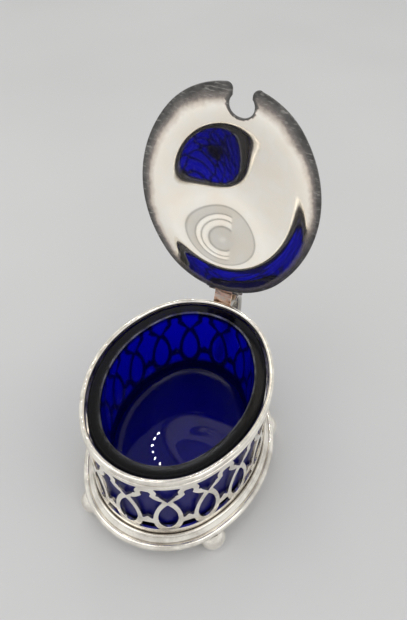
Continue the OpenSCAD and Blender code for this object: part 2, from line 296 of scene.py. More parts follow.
def triangulate(border, holes, filling):
    """Triangles of a plate with holes. Points come back as border, holes, filling, in order."""
    points = [Vector(p) for loop in [border] + holes for p in loop]
    edges = []
    start = 0
    for loop in [border] + holes:
        n = len(loop)
        edges += [(start + k, start + (k + 1) % n) for k in range(n)]
        start += n
    points += [Vector(p) for p in filling]
    found = delaunay_2d_cdt(points, edges, [], 0, 1e-7)
    verts, faces = found[0], found[2]
    if len(verts) != len(points):
        raise ValueError("outlines cross")
    origin = [ids[0] for ids in found[3]]
    kept = []
    for face in faces:
        middle = sum((verts[k] for k in face), Vector((0, 0))) / 3
        if inside(middle, border) and not any(inside(middle, hole) for hole in holes):
            kept.append([origin[k] for k in face])
    return kept


def sweep(profile, steps=ROUND_STEPS, closed=True):
    """A profile of (out, height) pairs carried round the oval."""
    count = len(profile)
    points = [off_wall(GIRTH * i / steps, d, z) for i in range(steps) for d, z in profile]
    faces = []
    for i in range(steps):
        a, b = i * count, (i + 1) % steps * count
        for k in range(count if closed else count - 1):
            m = (k + 1) % count
            faces.append((a + k, b + k, b + m, a + m))
    return points, faces


def fill_ring(points, faces, ring, rings=8):
    """Closes a flat oval ring of points with smaller rings about its middle."""
    n = len(ring)
    z = points[ring[0]][2]
    outer = ring
    for k in range(rings - 1, 0, -1):
        inner = list(range(len(points), len(points) + n))
        points += [(points[i][0] * k / rings, points[i][1] * k / rings, z) for i in ring]
        faces += [(outer[i], outer[(i + 1) % n], inner[(i + 1) % n], inner[i]) for i in range(n)]
        outer = inner
    points.append((0.0, 0.0, z))
    faces += [(outer[i], outer[(i + 1) % n], len(points) - 1) for i in range(n)]


def loft(rings, caps=True):
    """Skin over a row of closed rings that have the same number of points."""
    n = len(rings[0])
    points = [p for ring in rings for p in ring]
    faces = []
    for i in range(len(rings) - 1):
        for k in range(n):
            m = (k + 1) % n
            faces.append((i * n + k, i * n + m, (i + 1) * n + m, (i + 1) * n + k))
    if caps:
        faces.append(tuple(range(n)))
        faces.append(tuple(range((len(rings) - 1) * n, len(rings) * n)))
    return points, faces


def plank(outline, low, high, edge):
    """An outline of (y, z) across the pot from x low to high, with its long edges broken."""
    inner = shifted(outline, -edge)
    cuts = [(low, inner), (low + edge, outline), (high - edge, outline), (high, inner)]
    rings = [[(x, y, z) for y, z in ring] for x, ring in cuts]
    return loft(rings)


def lathe(profile, steps=40):
    """Rings of a profile of (x, radius) pairs turned about the hinge's axis."""
    turns = [2 * math.pi * k / steps for k in range(steps)]
    rings = []
    for x, r in profile:
        rings.append([(x, PIN_Y + r * math.cos(t), PIN_Z + r * math.sin(t)) for t in turns])
    return rings


# Nodes of a material

class Shader:
    """A material's node tree with short ways to add and join nodes."""

    def __init__(self, name):
        self.material = bpy.data.materials.new(name)
        self.material.use_nodes = True
        self.tree = self.material.node_tree
        self.tree.nodes.clear()
        self.out = self.add("ShaderNodeOutputMaterial")
        self.bsdf = self.add("ShaderNodeBsdfPrincipled")
        self.join(self.bsdf, "BSDF", self.out, "Surface")
        self.coords = self.add("ShaderNodeTexCoord")

    def add(self, kind, **values):
        node = self.tree.nodes.new(kind)
        for key, value in values.items():
            setattr(node, key, value)
        return node

    def join(self, source, output, target, socket):
        self.tree.links.new(source.outputs[output], target.inputs[socket])

    def stretched(self, scale):
        """Object coordinates with a scale along each axis."""
        node = self.add("ShaderNodeMapping")
        node.inputs["Scale"].default_value = scale
        self.join(self.coords, "Object", node, "Vector")
        return node

    def noise(self, size, detail=3.0, rough=0.55, stretch=(1, 1, 1)):
        """Noise whose grains are about size millimetres across."""
        node = self.add("ShaderNodeTexNoise")
        node.inputs["Scale"].default_value = 1 / (size * MM)
        node.inputs["Detail"].default_value = detail
        node.inputs["Roughness"].default_value = rough
        self.join(self.stretched(stretch), "Vector", node, "Vector")
        return node

    def ramp(self, source, output, stops):
        """A ramp through (place, grey or colour) stops."""
        node = self.add("ShaderNodeValToRGB")
        stops = [(at, c if isinstance(c, tuple) else (c, c, c)) for at, c in stops]
        elements = node.color_ramp.elements
        while len(elements) < len(stops):
            elements.new(0.5)
        for element, (at, colour) in zip(elements, stops):
            element.position = at
            element.color = (*colour, 1)
        self.join(source, output, node, "Fac")
        return node

    def mix(self, kind, factor, a, b):
        """Mixes two colours, each a colour or a (node, output) pair; so is the factor."""
        node = self.add("ShaderNodeMix", data_type="RGBA", blend_type=kind)
        for socket, value in (("Factor", factor), ("A", a), ("B", b)):
            index = {"Factor": 0, "A": 6, "B": 7}[socket]
            if isinstance(value, tuple) and not isinstance(value[0], (int, float)):
                self.tree.links.new(value[0].outputs[value[1]], node.inputs[index])
            elif socket == "Factor":
                node.inputs[index].default_value = value
            else:
                node.inputs[index].default_value = (*value, 1)
        return node, 2

    def maths(self, operation, *values):
        """A sum on values, each a number or a (node, output) pair."""
        node = self.add("ShaderNodeMath", operation=operation)
        for k, value in enumerate(values):
            if isinstance(value, (int, float)):
                node.inputs[k].default_value = value
            else:
                self.tree.links.new(value[0].outputs[value[1]], node.inputs[k])
        return node, 0

    def set(self, socket, value):
        """Sets a constant on the shader, or joins a (node, output) pair to it."""
        target = self.bsdf.inputs[socket]
        if isinstance(value, tuple) and not isinstance(value[0], (int, float)):
            self.tree.links.new(value[0].outputs[value[1]], target)
        elif isinstance(value, tuple):
            target.default_value = (*value, 1)
        else:
            target.default_value = value

    def bump(self, source, depth):
        """Relief of about depth millimetres from a (node, output) pair."""
        node = self.add("ShaderNodeBump")
        node.inputs["Distance"].default_value = depth * MM
        node.inputs["Strength"].default_value = 1.0
        self.tree.links.new(source[0].outputs[source[1]], node.inputs["Height"])
        self.join(node, "Normal", self.bsdf, "Normal")


def silver_material(name, bright, dull, rough_low, rough_high, crevice):
    """Polished silver: a soft film in patches, tarnish in the corners, hairline scratches."""
    grime = (0.16, 0.13, 0.115)
    corner_reach = 1.4
    sh = Shader(name)
    film = sh.ramp(sh.noise(6, 4, 0.6), "Fac", [(0.42, 0.0), (0.66, 1.0)])
    near = sh.add("ShaderNodeAmbientOcclusion", samples=6)
    near.inputs["Distance"].default_value = corner_reach * MM
    corner = sh.ramp(near, "AO", [(0.25, 1.0), (0.8, 0.0)])
    speck = sh.ramp(sh.noise(0.7, 2), "Fac", [(0.62, 0.0), (0.74, 1.0)])
    colour = sh.mix("MIX", sh.maths("MULTIPLY", (film, 0), 0.6), bright, dull)
    colour = sh.mix("MIX", sh.maths("MULTIPLY", (speck, 0), 0.18), colour, dull)
    dirt = sh.maths("MULTIPLY", (corner, 0), crevice)
    colour = sh.mix("MIX", dirt, colour, grime)
    hair = sh.ramp(sh.noise(0.35, 2, 0.5, (0.06, 1, 1)), "Fac", [(0.45, 0.0), (0.75, 1.0)])
    cross = sh.ramp(sh.noise(0.35, 2, 0.5, (1, 0.07, 0.8)), "Fac", [(0.45, 0.0), (0.75, 1.0)])
    marks = sh.maths("ADD", (hair, 0), (cross, 0))
    rough = sh.maths("MULTIPLY_ADD", (film, 0), rough_high - rough_low, rough_low)
    rough = sh.maths("MULTIPLY_ADD", dirt, 0.25, rough)
    sh.set("Base Color", colour)
    sh.set("Metallic", 1.0)
    sh.set("Roughness", rough)
    sh.bump(marks, 0.0006)
    return sh.material


def lid_material():
    """The lid's mirror finish, with a dark tarnished border that turns brown and then fades."""
    haze = (0.5, 0.48, 0.46)
    scuff = (0.75, 0.72, 0.68)
    sh = Shader("lid_silver")
    reach = sh.add("ShaderNodeAttribute", attribute_name="border_reach")
    cloud = sh.noise(8, 4, 0.6)
    fine = sh.noise(1.2, 4, 0.65)
    mottle = sh.noise(2.6, 3, 0.6)
    cream = sh.ramp(sh.noise(6, 3), "Fac", [(0.35, (0.96, 0.925, 0.865)), (0.68, (0.95, 0.875, 0.77))])
    edge = sh.maths("MULTIPLY_ADD", (cloud, "Fac"), 0.7, (reach, "Fac"))
    edge = sh.maths("MULTIPLY_ADD", (fine, "Fac"), 0.4, edge)
    edge = sh.maths("MULTIPLY", edge, 0.4)
    stain = sh.ramp(edge[0], 0, [(0.2, (0.065, 0.064, 0.062)), (0.36, (0.105, 0.1, 0.097)),
                                 (0.5, (0.29, 0.255, 0.235)), (0.6, (0.58, 0.48, 0.41))])
    clean = sh.ramp(edge[0], 0, [(0.5, 0.0), (0.76, 1.0)])
    film = sh.ramp(edge[0], 0, [(0.36, 1.0), (0.7, 0.0)])
    hair = sh.ramp(sh.noise(0.5, 2, 0.5, (0.25, 1, 1)), "Fac", [(0.56, 0.0), (0.7, 1.0)])
    scuffed = sh.maths("MULTIPLY", (hair, 0), (film, 0))
    spots = sh.ramp(mottle, "Fac", [(0.4, 0.0), (0.75, 1.0)])
    spotted = sh.maths("MULTIPLY", sh.maths("MULTIPLY", (spots, 0), (film, 0)), 0.18)
    colour = sh.mix("MIX", (clean, 0), (stain, 0), (cream, 0))
    colour = sh.mix("MIX", spotted, colour, haze)
    colour = sh.mix("MIX", sh.maths("MULTIPLY", scuffed, 0.3), colour, scuff)
    rough = sh.maths("MULTIPLY_ADD", (film, 0), 0.24, 0.03)
    rough = sh.maths("MULTIPLY_ADD", (cloud, "Fac"), 0.03, rough)
    sh.set("Base Color", colour)
    sh.set("Metallic", sh.maths("MULTIPLY_ADD", (film, 0), -0.38, 0.985))
    sh.set("Roughness", rough)
    sh.bump(scuffed, 0.0008)
    return sh.material


def glass_material():
    """Deep cobalt glass: polished inside, softer outside, almost black and matt from grinding at the rim.
    Painted shade darkens the outer foot, and a painted highlight lies along the rim's inner shoulder.
    """
    cobalt = (0.03, 0.03, 0.9)
    highlight_grey = (0.42, 0.42, 0.47)
    sh = Shader("cobalt_glass")
    wave = sh.noise(11, 2)
    seeds = sh.ramp(sh.noise(1.1, 1), "Fac", [(0.7, 0.0), (0.78, 1.0)])
    # Mask of the almost black rim, and of the outer foot, where the darkening is painted shade
    ground_rim_and_foot_shade = sh.add("ShaderNodeAttribute", attribute_name="dark_rim_and_foot_shade")
    outside = sh.add("ShaderNodeAttribute", attribute_name="outside")
    grain = sh.ramp(sh.noise(0.8, 3), "Fac", [(0.35, (0.006, 0.006, 0.009)), (0.7, (0.014, 0.014, 0.02))])
    # Painted highlight along the rim's inner shoulder: paler grey colour and less transmission, broken up by
    # noise
    painted_highlight = sh.add("ShaderNodeAttribute", attribute_name="rim_shoulder_highlight")
    broken = sh.ramp(sh.noise(5, 3, 0.6), "Fac", [(0.36, 0.25), (0.6, 1.0)])
    pale = sh.maths("MULTIPLY", (painted_highlight, "Fac"), (broken, 0))
    # Almost black on the rim, and on the outer foot as painted shade
    colour = sh.mix("MIX", (ground_rim_and_foot_shade, "Fac"), cobalt, (grain, 0))
    sh.set("Base Color", sh.mix("MIX", pale, colour, highlight_grey))
    clear = sh.maths("MULTIPLY_ADD", (outside, "Fac"), -0.06, 0.96)
    sh.set("Transmission Weight", sh.maths("MULTIPLY_ADD", pale, -0.4, clear))
    sh.set("IOR", 1.27)
    rough = sh.maths("MULTIPLY_ADD", (seeds, 0), 0.06, 0.012)
    rough = sh.maths("MULTIPLY_ADD", (ground_rim_and_foot_shade, "Fac"), 0.16, rough)
    sh.set("Roughness", sh.maths("MULTIPLY_ADD", (outside, "Fac"), 0.42, rough))
    sh.bump((wave, "Fac"), 0.005)
    depth = sh.add("ShaderNodeVolumeAbsorption")
    depth.inputs["Color"].default_value = (0.0, 0.0, 0.85, 1)
    depth.inputs["Density"].default_value = 900.0
    sh.join(depth, "Volume", sh.out, "Volume")
    return sh.material


def copper_material():
    """Silver worn through to copper, with streaks across it."""
    sh = Shader("worn_hinge")
    streak = sh.noise(0.8, 3, 0.65, (0.2, 1, 1))
    patch = sh.noise(2.2, 3)
    colour = sh.ramp(streak, "Fac", [(0.38, (0.22, 0.125, 0.075)), (0.5, (0.95, 0.62, 0.43)),
                                     (0.66, (0.98, 0.88, 0.76))])
    worn = sh.ramp(patch, "Fac", [(0.5, 0.0), (0.68, 1.0)])
    mixed = sh.mix("MIX", sh.maths("MULTIPLY", (worn, 0), 0.45), (colour, 0), (0.78, 0.74, 0.68))
    sh.set("Base Color", mixed)
    sh.set("Metallic", 1.0)
    sh.set("Roughness", sh.maths("MULTIPLY_ADD", (patch, "Fac"), 0.2, 0.45))
    sh.bump((streak, "Fac"), 0.06)
    return sh.material


def pin_material():
    """Dark tarnished metal."""
    sh = Shader("dark_pin")
    patch = sh.noise(1.0, 4, 0.6)
    colour = sh.ramp(patch, "Fac", [(0.35, (0.10, 0.09, 0.085)), (0.55, (0.26, 0.24, 0.22)),
                                    (0.75, (0.45, 0.42, 0.38))])
    sh.set("Base Color", (colour, 0))
    sh.set("Metallic", 1.0)
    sh.set("Roughness", sh.maths("MULTIPLY_ADD", (patch, "Fac"), 0.3, 0.2))
    sh.bump((patch, "Fac"), 0.02)
    return sh.material


def floor_material():
    """Pale paper with a faint grain; glossy rays see a painted reflection instead: paler paper, up to a grey
    table with white strips that stand for lamps.
    """
    sh = Shader("paper")
    grain = sh.noise(0.6, 2)
    cloud = sh.noise(160, 2)
    colour = sh.ramp(cloud, "Fac", [(0.3, (0.625, 0.625, 0.63)), (0.7, (0.665, 0.665, 0.67))])
    parts = sh.add("ShaderNodeSeparateXYZ")
    sh.join(sh.coords, "Object", parts, "Vector")
    forward = sh.maths("MULTIPLY", (parts, "Y"), -1.0)
    # Painted reflection: metres in front of the pot, and how pale the floor looks there in mirrors
    near = [(0.0, 0.75), (0.07, 0.77), (0.15, 0.88), (0.22, 0.86), (0.23, 0.35), (0.25, 0.64)]
    far = [(0.35, 0.6), (0.36, 0.12), (0.385, 0.97), (0.48, 0.97), (0.5, 0.05), (0.54, 0.97),
           (0.75, 0.97), (0.8, 0.2), (0.9, 0.7)]
    table = sh.ramp(forward[0], 0, near + [(0.8, 0.7)])
    strips = sh.ramp(forward[0], 0, near + far)
    # The painted strips stop at a line to the left of the pot, and the painted table is bare beyond it
    aside = sh.maths("ADD", sh.maths("DIVIDE", (parts, "X"), forward), 0.5)
    where = sh.ramp(aside[0], 0, [(0.16, 0.0), (0.2, 1.0)])
    mirrored = sh.mix("MIX", (where, 0), (table, 0), (strips, 0))
    rays = sh.add("ShaderNodeLightPath")
    # Glossy rays see the painted reflection, other rays the paper's own colour
    sh.set("Base Color", sh.mix("MIX", (rays, "Is Glossy Ray"), (colour, 0), mirrored))
    sh.set("Roughness", 0.85)
    sh.set("Specular IOR Level", 0.2)
    sh.bump((grain, "Fac"), 0.01)
    return sh.material


SILVER = silver_material("silver", (0.9, 0.865, 0.8), (0.46, 0.42, 0.375), 0.08, 0.22, 0.45)
PLAIN_SILVER = silver_material("silver_plain", (0.86, 0.82, 0.76), (0.62, 0.57, 0.51), 0.42, 0.55, 0.3)
# A darker copy of silver, used on the handle as painted shade
SHADED_SILVER = silver_material("silver_shaded", (0.5, 0.48, 0.45), (0.26, 0.245, 0.23), 0.12, 0.28, 0.5)
LID_SILVER = lid_material()
GLASS = glass_material()
COPPER = copper_material()
DARK_PIN = pin_material()
SLOTS = {"silver": SILVER, "lid_silver": LID_SILVER, "cobalt_glass": GLASS, "worn_hinge": COPPER,
         "dark_pin": DARK_PIN}


def piece(name, shape, body, slot, stands_for, sharp=32, move=None):
    """Makes an object from points and faces in millimetres, gives it its body and slot, and hides the node
    that it stands for.
    """
    weld = 0.0005 * MM
    points, faces = shape
    if move:
        points = [move(p) for p in points]
    mesh = bpy.data.meshes.new(name)
    mesh.from_pydata([Vector(p) * MM for p in points], [], faces)
    bm = bmesh.new()
    bm.from_mesh(mesh)
    bmesh.ops.remove_doubles(bm, verts=bm.verts, dist=weld)
    bmesh.ops.recalc_face_normals(bm, faces=bm.faces)
    bm.to_mesh(mesh)
    bm.free()
    mesh.polygons.foreach_set("use_smooth", [True] * len(mesh.polygons))
    mesh.set_sharp_from_angle(angle=math.radians(sharp))
    mesh.materials.append(SLOTS[slot])
    obj = bpy.data.objects.new(name, mesh)
    bpy.context.collection.objects.link(obj)
    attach(obj, body)
    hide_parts(stands_for)
    return obj


# Pierced wall

def both_sides(half):
    """An outline from its right half, given from bottom to top."""
    return half + [(-x, y) for x, y in reversed(half) if x > 0]


def cut_outlines():
    """Openings of one repeat and their places, as parts of the pitch and of the pierced height."""
    egg = [(0.246 * x, 0.302 + 0.237 * y) for x, y in arc((0, 0), 1, -90, 0, 14)]
    loop = both_sides(egg + bend((0.246, 0.302), (0.226, 0.5), (0.012, 0.635), 12)[1:])
    bell = both_sides(
        [(0, 0.335), (0.105, 0.274)]
        + bend((0.133, 0.285), (0.168, 0.51), (0.372, 0.69), 14)
        + bend((0.36, 0.726), (0.21, 0.755), (0.1, 0.836), 8)
        + [(0.092, 0.848), (0.118, 0.877), (0.108, 0.918), (0.07, 0.94)])
    crest = both_sides([(0.008, 0.7), (0.172, 0.808), (0.192, 0.838), (0.262, 0.856), (0.243, 0.922),
                        (0.31, 1)])
    foot = both_sides(bend((0.292, 0), (0.188, 0.05), (0.14, 0.165), 6) + [(0.1, 0.178)])
    return [(bell, 0.5), (foot, 0.5), (loop, 1.0), (crest, 1.0)]


# Line between two repeats that stays inside the ribbons, as parts of the pitch and of the pierced height
RIBBON_PATH = [(0.1, 0), (0.19, 0.08), (0.278, 0.157), (0.305, 0.3), (0.228, 0.5), (0.12, 0.615),
               (0.05, 0.675), (0.135, 0.754), (0.215, 0.793), (0.298, 0.834), (0.322, 0.9), (0.37, 1.0)]


def gallery_shape():
    """The pierced wall: one repeat is cut flat, copied along the wall and bent round the oval."""
    gap, row_height, clearance = 0.55, 0.9, 0.4
    low, high = BASE_TOP, WALL_TOP
    path = [(RIBBON_PATH[0][0] * PITCH, low)]
    path += [(u * PITCH, PIERCED_Z + v * PIERCED_H) for u, v in RIBBON_PATH]
    path.append((RIBBON_PATH[-1][0] * PITCH, high))
    left = [p for a, b in zip(path, path[1:]) for p in along(a, b, gap)] + [path[-1]]
    right = [(u + PITCH, v) for u, v in left]
    across = math.ceil(PITCH / gap)
    bottom = [(left[0][0] + PITCH * k / across, low) for k in range(1, across)]
    top = [(left[-1][0] + PITCH * k / across, high) for k in range(1, across)]
    border = closed_border(left, bottom, right, top)
    true_cuts = []
    for outline, at in cut_outlines():
        sized = [((u + at) * PITCH, PIERCED_Z + v * PIERCED_H) for u, v in outline]
        true_cuts.append(spaced(sized, gap))
    wide_cuts = [shifted(cut, EDGE_BREAK) for cut in true_cuts]
    filling = []
    rows = math.ceil((high - low) / row_height)
    for r in range(1, rows):
        v = low + (high - low) * r / rows
        for k in range(across):
            u = left[0][0] + PITCH * (k + 0.5 * (r % 2)) / across
            clear = min(math.dist((u, v), p) for loop in [border] + wide_cuts for p in loop)
            if clear > clearance and inside((u, v), border) and not any(inside((u, v), c) for c in wide_cuts):
                filling.append((u, v))
    flat = triangulate(border, wide_cuts, filling)
    plan = border + [p for cut in wide_cuts for p in cut] + filling
    points, faces = [], []
    for i in range(LOOP_N):
        at = LOOP_SHIFT + i * PITCH
        start = len(points)
        points += [off_wall(at + u, 0, v) for u, v in plan]
        points += [off_wall(at + u, -WALL_T, v) for u, v in plan]
        n = len(plan)
        faces += [tuple(start + k for k in face) for face in flat]
        faces += [tuple(start + n + k for k in reversed(face)) for face in flat]
        first = start + len(border)
        for cut in true_cuts:
            m = len(cut)
            ring = len(points)
            points += [off_wall(at + u, -EDGE_BREAK, v) for u, v in cut]
            points += [off_wall(at + u, EDGE_BREAK - WALL_T, v) for u, v in cut]
            rings = [list(range(first, first + m)), list(range(ring, ring + m)),
                     list(range(ring + m, ring + 2 * m)), list(range(first + n, first + n + m))]
            for a, b in zip(rings, rings[1:]):
                faces += [(a[k], a[(k + 1) % m], b[(k + 1) % m], b[k]) for k in range(m)]
            first += m
        top_start = start + len(bottom) + len(right)
        for first, count in ((start, len(bottom)), (top_start, len(top))):
            faces += [(a, a + 1, a + 1 + n, a + n) for a in range(first, first + count + 1)]
    return points, faces


def closed_border(left, bottom, right, top):
    """One closed outline: along the bottom, up the right, back along the top, down the left."""
    return [left[0]] + bottom + right + top[::-1] + left[:0:-1]


# Rings and body pieces

def rim_profile():
    """Section of the rim wire: a round crown that caps the wall, and a reed below it."""
    crown_turn, reed_turn = (225, -50.6), (70.5, -112.2)
    crown = arc((RIM_OUT, RIM_Z), RIM_R, *crown_turn, 30)
    reed = arc((REED_OUT, REED_Z), REED_R, *reed_turn, 18)
    return [(SEAT_GAP, WALL_TOP)] + crown + reed


def step_profile():
    """Section of the stepped ring: a low step with a soft edge, and a reed against the wall."""
    edge_turn, reed_turn = (0, 60), (-33, 180)
    edge = arc(STEP_EDGE, STEP_EDGE_R, *edge_turn, 4)
    reed = arc(STEP_REED, STEP_REED_R, *reed_turn, 20)
    return [(SEAT_GAP, BASE_TOP), (STEP_EDGE[0] + STEP_EDGE_R, BASE_TOP)] + edge + reed


def flange_profile():
    """Section of the base: a flat plate with a bead along its edge."""
    bead_turn = 119.6
    bead = arc((FLANGE_OUT, FLANGE_Z), FLANGE_R, -bead_turn, bead_turn, 32)
    return [(FLANGE_IN, BASE_TOP), (FLANGE_IN, FLANGE_Z - FLANGE_HALF)] + bead


def liner_shape():
    """A thick cup: flat foot with a round heel, upright outside, rounded rim and a well that narrows."""
    z = FLOOR_TOP + LINER_LIFT
    out, edge, heel, well = LINER_OUT, LINER_EDGE, LINER_HEEL_R, LINER_WELL_R
    shoulder = LINER_TOP - edge
    middle = LINER_CORE_R - END_R
    narrowing = LINER_IN_LOW - LINER_IN_TOP
    under_rim = LINER_IN_TOP + narrowing * (shoulder - RIM_DARK) / (shoulder - LINER_FLOOR - well)
    profile = (
        [(middle, z)]
        + arc((out - heel, z + heel), heel, -90, 0, 12)
        + [(out, FOOT_SHADE_FULL), (out, FOOT_SHADE_END), (out, RIM_DARK)]
        + arc((out - edge, shoulder), edge, 0, 90, 8)
        + arc((LINER_IN_TOP + edge, shoulder), edge, 90, 180, 8)
        + [(under_rim, RIM_DARK)]
        + arc((LINER_IN_LOW - well, LINER_FLOOR + well), well, 0, -90, 14)
        + [(middle, LINER_FLOOR)])
    points, faces = sweep(profile, closed=False)
    n = len(profile)
    fill_ring(points, faces, [i * n for i in range(ROUND_STEPS)])
    fill_ring(points, faces, [i * n + n - 1 for i in range(ROUND_STEPS)])
    return points, faces


def mark_liner(mesh):
    """Marks the liner's almost black rim and its outer foot, darkened there as painted shade; the part that
    faces out; and the band of painted highlight on the rim's inner shoulder.
    """
    dark = mesh.attributes.new("dark_rim_and_foot_shade", "FLOAT", "POINT")
    outside = mesh.attributes.new("outside", "FLOAT", "POINT")
    worn = mesh.attributes.new("rim_shoulder_highlight", "FLOAT", "POINT")
    shoulder_z = LINER_TOP - LINER_EDGE
    shoulder_out = LINER_IN_TOP + LINER_EDGE
    for k, vertex in enumerate(mesh.vertices):
        x, y, z = vertex.co / MM
        out = distance_out(x, y)
        rim = min(1.0, max(0.0, (z - RIM_DARK) / RIM_FADE))
        # Painted shade: the outer foot is darkened fully low down and fades out higher up
        foot = min(1.0, max(0.0, (FOOT_SHADE_END - z) / (FOOT_SHADE_END - FOOT_SHADE_FULL)))
        dark.data[k].value = max(rim, foot if out > FOOT_SHADE_DEEP else 0.0)
        outside.data[k].value = 1.0 if out > OUTER_SKIN or z < UNDERSIDE else 0.0
        # Band of painted highlight on the rim's inner shoulder
        turn = math.degrees(math.atan2(z - shoulder_z, shoulder_out - out))
        on_shoulder = z > shoulder_z and out < shoulder_out
        worn.data[k].value = max(0.0, 1 - abs(turn - HIGHLIGHT_MID) / HIGHLIGHT_HALF) if on_shoulder else 0.0


def foot_shape(s):
    """A ball with a small worn flat, its top fitted under the base."""
    cx, cy, _ = off_wall(s, FOOT_OUT, 0)
    steps, around, top_gap = 40, 64, 0.02
    rings = []
    low_turn = math.acos(FOOT_Z / FOOT_R)
    for i in range(steps + 1):
        turn = low_turn + (math.pi - top_gap - low_turn) * i / steps
        r, z = FOOT_R * math.sin(turn), FOOT_Z - FOOT_R * math.cos(turn)
        ring = []
        for k in range(around):
            a = 2 * math.pi * k / around
            x, y = cx + r * math.cos(a), cy + r * math.sin(a)
            ring.append((x, y, min(z, under_base(distance_out(x, y)))))
        rings.append(ring)
    return loft(rings)


def under_base(out):
    """Height of the base's underside at a distance out from the wall."""
    half, grown = FLANGE_HALF + SEAT_GAP, FLANGE_R + SEAT_GAP
    past = out - FLANGE_OUT
    if past < -math.sqrt(grown ** 2 - half ** 2):
        return FLANGE_Z - half
    if past < grown:
        return FLANGE_Z - math.sqrt(grown ** 2 - past ** 2)
    return FLANGE_Z + FOOT_R


def handle_bend(z, start, stop):
    """Middle line of one of the handle's bends, as (y, height, angle in degrees)."""
    line = []
    for a in range(start, stop - 1, -5):
        turn = math.radians(a)
        line.append((BOW_Y + HANDLE_R * math.cos(turn), z + HANDLE_R * math.sin(turn), a))
    return line


def handle_shape():
    """Strap with round sides along two straight ends, two bends and a straight back."""
    high, low = BOW_HIGH + HANDLE_R, BOW_LOW - HANDLE_R
    start = PLATE_Y + PLATE_T + SEAT_GAP
    steps = 6
    middle = [(start + (BOW_Y - start) * k / steps, high, 90) for k in range(steps)]
    middle += handle_bend(BOW_HIGH, 90, 0) + handle_bend(BOW_LOW, 0, -90)
    middle += [(BOW_Y + (HALF_L - BOW_Y) * k / steps, low, -90) for k in range(1, steps + 1)]
    side = (HANDLE_W - HANDLE_T) / 2
    section = arc((0, side), HANDLE_T / 2, 0, 180, 16) + arc((0, -side), HANDLE_T / 2, 180, 360, 16)
    rings = []
    for k, (y, z, a) in enumerate(middle):
        c, s = math.cos(math.radians(a)), math.sin(math.radians(a))
        ring = [(x, y + r * c, z + r * s) for r, x in section]
        if k == len(middle) - 1:
            ring = [(x, END_C + math.sqrt((END_R + SEAT_GAP) ** 2 - x * x), z0) for x, _, z0 in ring]
        rings.append(ring)
    return loft(rings)


def hinge_plate_shape():
    """Tab on the wall, plate out round the rim wire and up to the middle tube."""
    steps, edge, tab_depth = 10, 0.12, 0.2
    lean = (PIN_Y - PLATE_Y - PLATE_T / 2) / (PIN_Z - RIM_Z)
    back = PLATE_Y + PLATE_T / 2 + lean * (PLATE_STOP - RIM_Z)
    outline = [(HALF_L, TAB_LOW), (PLATE_Y + PLATE_T, TAB_LOW), (PLATE_Y + PLATE_T, RIM_Z),
               (back + PLATE_T / 2, PLATE_STOP), (back - PLATE_T / 2, PLATE_STOP),
               (PLATE_Y, RIM_Z + PLATE_T / 2), (PLATE_Y, TAB_TOP), (HALF_L, TAB_TOP)]
    inner = shifted(outline, -edge)
    cuts = [(-PLATE_W / 2, inner)]
    cuts += [(-PLATE_W / 2 + edge + (PLATE_W - 2 * edge) * k / steps, outline) for k in range(steps + 1)]
    cuts.append((PLATE_W / 2, inner))
    rings = []
    for x, ring in cuts:
        wall = END_C + math.sqrt((END_R + SEAT_GAP) ** 2 - x * x)
        rings.append([(x, wall if y < HALF_L + tab_depth else y, z) for y, z in ring])
    return loft(rings)


def tube_shape(low, high):
    """A hinge tube with a bore and broken edges."""
    edge = 0.12
    bore = BORE_R + 0.03
    rings = lathe([(low, bore), (low, TUBE_R - edge), (low + edge, TUBE_R), (high - edge, TUBE_R),
                   (high, TUBE_R - edge), (high, bore), (low, bore)])
    return loft(rings, caps=False)


def pin_shape():
    """The pin, its two ends rounded over."""
    edge = 0.3
    end = arc((PIN_L / 2 - edge, PIN_R - edge), edge, 0, 90, 5)
    return loft(lathe([(-x, r) for x, r in end] + end[::-1]))


def leaf_shape():
    """Plate on the lid's border with an arm to each outer tube."""
    inner = SIDE_TUBE_X
    outer = inner + SIDE_TUBE_L
    root = LEAF_Y + LEAF_L
    edge = 0.1
    plate = [(LEAF_Y, LID_TOP), (root, LID_TOP), (root, LID_TOP + LEAF_T), (LEAF_Y, LID_TOP + LEAF_T)]
    arm = [(root - LEAF_T, LID_TOP), (root, LID_TOP), ARM_UNDER, ARM_OVER, (root - LEAF_T, LID_TOP + LEAF_T)]
    points, faces = plank(plate, -outer, outer, edge)
    for low, high in ((-outer, -inner), (inner, outer)):
        more, skin = plank(arm, low, high, edge)
        faces += [tuple(k + len(points) for k in face) for face in skin]
        points += more
    return points, faces


def thumb_shape():
    """Lever that stands on the leaf and arches back over the hinge, wider and rounded at its tip."""
    steps, around = 28, 40
    waist, tip_at, tip_round = 0.16, 0.86, 0.72
    side_power, face_power = 0.35, 0.45
    root = (LEAF_Y, LID_TOP + LEAF_T)
    high = (HALF_L, THUMB_TIP[1] + THUMB_T)
    over = bend(root, high, THUMB_TIP, steps)
    under = bend((root[0] + THUMB_T, root[1]), (high[0] + THUMB_T, high[1] - THUMB_T),
                 (THUMB_TIP[0], THUMB_TIP[1] - THUMB_T), steps)
    rings = []
    for k, (a, b) in enumerate(zip(over, under)):
        t = k / steps
        half = THUMB_W / 2 * (1 - waist * math.sin(math.pi * t) ** 2)
        if t > tip_at:
            half *= math.sqrt(max(0.0, 1 - tip_round * ((t - tip_at) / (1 - tip_at)) ** 2))
        mid = ((a[0] + b[0]) / 2, (a[1] + b[1]) / 2)
        rise = ((a[0] - b[0]) / 2, (a[1] - b[1]) / 2)
        ring = []
        for q in range(around):
            turn = 2 * math.pi * q / around
            c, s = math.cos(turn), math.sin(turn)
            x = half * math.copysign(abs(c) ** side_power, c)
            w = math.copysign(abs(s) ** face_power, s)
            ring.append((x, mid[0] + rise[0] * w, mid[1] + rise[1] * w))
        rings.append(ring)
    return loft(rings)


# Lid

